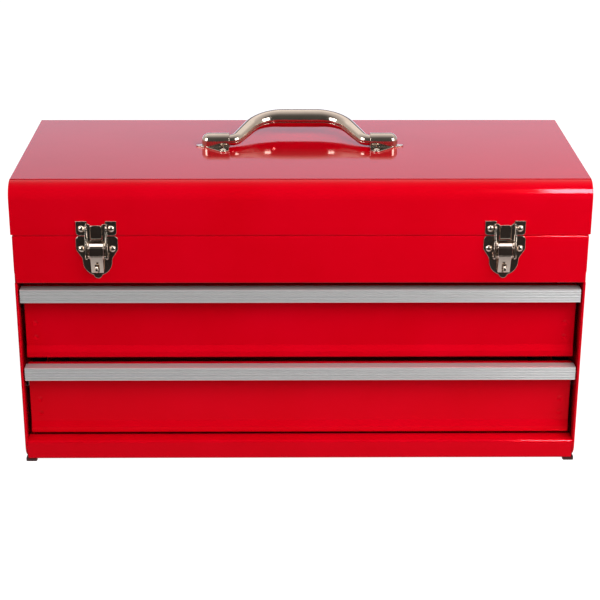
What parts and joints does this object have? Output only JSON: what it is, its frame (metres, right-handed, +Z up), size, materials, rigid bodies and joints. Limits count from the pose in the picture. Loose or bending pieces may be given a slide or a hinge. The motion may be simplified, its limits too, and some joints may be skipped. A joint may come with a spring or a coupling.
{
  "type": "portable tool box with drawers",
  "caption": "Portable steel tool box with a hinged lid and carry handle over a top compartment, and ribbed-pull drawers on slides below.",
  "frame": {"origin": "on the ground, midway between the outermost front and back and between the two sides", "axes": "+X to the right of someone facing the drawers, +Y to the back, +Z up; the drawers open towards -Y"},
  "size_m": [0.5116, 0.234, 0.2942],
  "materials": {
    "red_paint": "gloss baked enamel",
    "pull_aluminium": "satin, fine ribs",
    "nickel_plate": "bright nickel plate",
    "zinc_steel": "zinc plate",
    "foot_rubber": "dull"
  },
  "bodies": {
    "case": {"case_shell": "red_paint", "chest_front": "red_paint", "chest_floor": "red_paint", "base_pan": "red_paint", "feet": "foot_rubber", "hinge_leaf_case": "zinc_steel", "hinge_pin": "zinc_steel", "slide_channel_upper_left": "zinc_steel", "slide_channel_upper_right": "zinc_steel", "slide_channel_lower_left": "zinc_steel", "slide_channel_lower_right": "zinc_steel", "latch_plate_left": "nickel_plate", "latch_plate_right": "nickel_plate", "latch_plate_rivets": "nickel_plate", "latch_staple_left": "nickel_plate", "latch_staple_right": "nickel_plate", "latch_lever_pin_left": "nickel_plate", "latch_lever_pin_right": "nickel_plate"},
    "lid": {"lid_skin": "red_paint", "lid_end_left": "red_paint", "lid_end_right": "red_paint", "hinge_leaf_lid": "zinc_steel", "latch_strike_left": "nickel_plate", "latch_strike_right": "nickel_plate", "latch_strike_rivets": "nickel_plate", "handle_bracket_left": "nickel_plate", "handle_bracket_right": "nickel_plate", "handle_rivets": "nickel_plate"},
    "handle": {"handle_grip": "nickel_plate"},
    "drawer_upper": {"drawer_upper_tray": "red_paint", "drawer_upper_front": "red_paint", "drawer_upper_pull": "pull_aluminium", "drawer_upper_runner_left": "zinc_steel", "drawer_upper_runner_right": "zinc_steel"},
    "drawer_lower": {"drawer_lower_tray": "red_paint", "drawer_lower_front": "red_paint", "drawer_lower_pull": "pull_aluminium", "drawer_lower_runner_left": "zinc_steel", "drawer_lower_runner_right": "zinc_steel"},
    "lever_left": {"latch_lever_left": "nickel_plate", "latch_bail_pin_left": "nickel_plate"},
    "lever_right": {"latch_lever_right": "nickel_plate", "latch_bail_pin_right": "nickel_plate"},
    "bail_left": {"latch_bail_left": "nickel_plate"},
    "bail_right": {"latch_bail_right": "nickel_plate"}
  },
  "joints": [
    {"name": "lid_hinge", "type": "hinge", "parent": "case", "child": "lid", "pos_m": [0, 0.11475, 0.2219], "axis": [-1, 0, 0], "range_deg": [0, 100]},
    {"name": "handle_swing", "type": "hinge", "parent": "lid", "child": "handle", "pos_m": [0, 0.01365, 0.2755], "axis": [1, 0, 0], "range_deg": [-9, 163]},
    {"name": "drawer_upper_slide", "type": "slide", "parent": "case", "child": "drawer_upper", "axis": [0, -1, 0], "range_m": [0, 0.13]},
    {"name": "drawer_lower_slide", "type": "slide", "parent": "case", "child": "drawer_lower", "axis": [0, -1, 0], "range_m": [0, 0.13]},
    {"name": "lever_left_pivot", "type": "hinge", "parent": "case", "child": "lever_left", "pos_m": [-0.18, -0.11105, 0.214], "axis": [-1, 0, 0], "range_deg": [0, 140]},
    {"name": "bail_left_pivot", "type": "hinge", "parent": "lever_left", "child": "bail_left", "pos_m": [-0.18, -0.11005, 0.203], "axis": [-1, 0, 0], "range_deg": [-140, 0]},
    {"name": "lever_right_pivot", "type": "hinge", "parent": "case", "child": "lever_right", "pos_m": [0.18, -0.11105, 0.214], "axis": [-1, 0, 0], "range_deg": [0, 140]},
    {"name": "bail_right_pivot", "type": "hinge", "parent": "lever_right", "child": "bail_right", "pos_m": [0.18, -0.11005, 0.203], "axis": [-1, 0, 0], "range_deg": [-140, 0]}
  ],
  "couplings": [
    {"joint": "bail_left_pivot", "follows": "lever_left_pivot", "ratio": -1},
    {"joint": "bail_right_pivot", "follows": "lever_right_pivot", "ratio": -1}
  ]
}
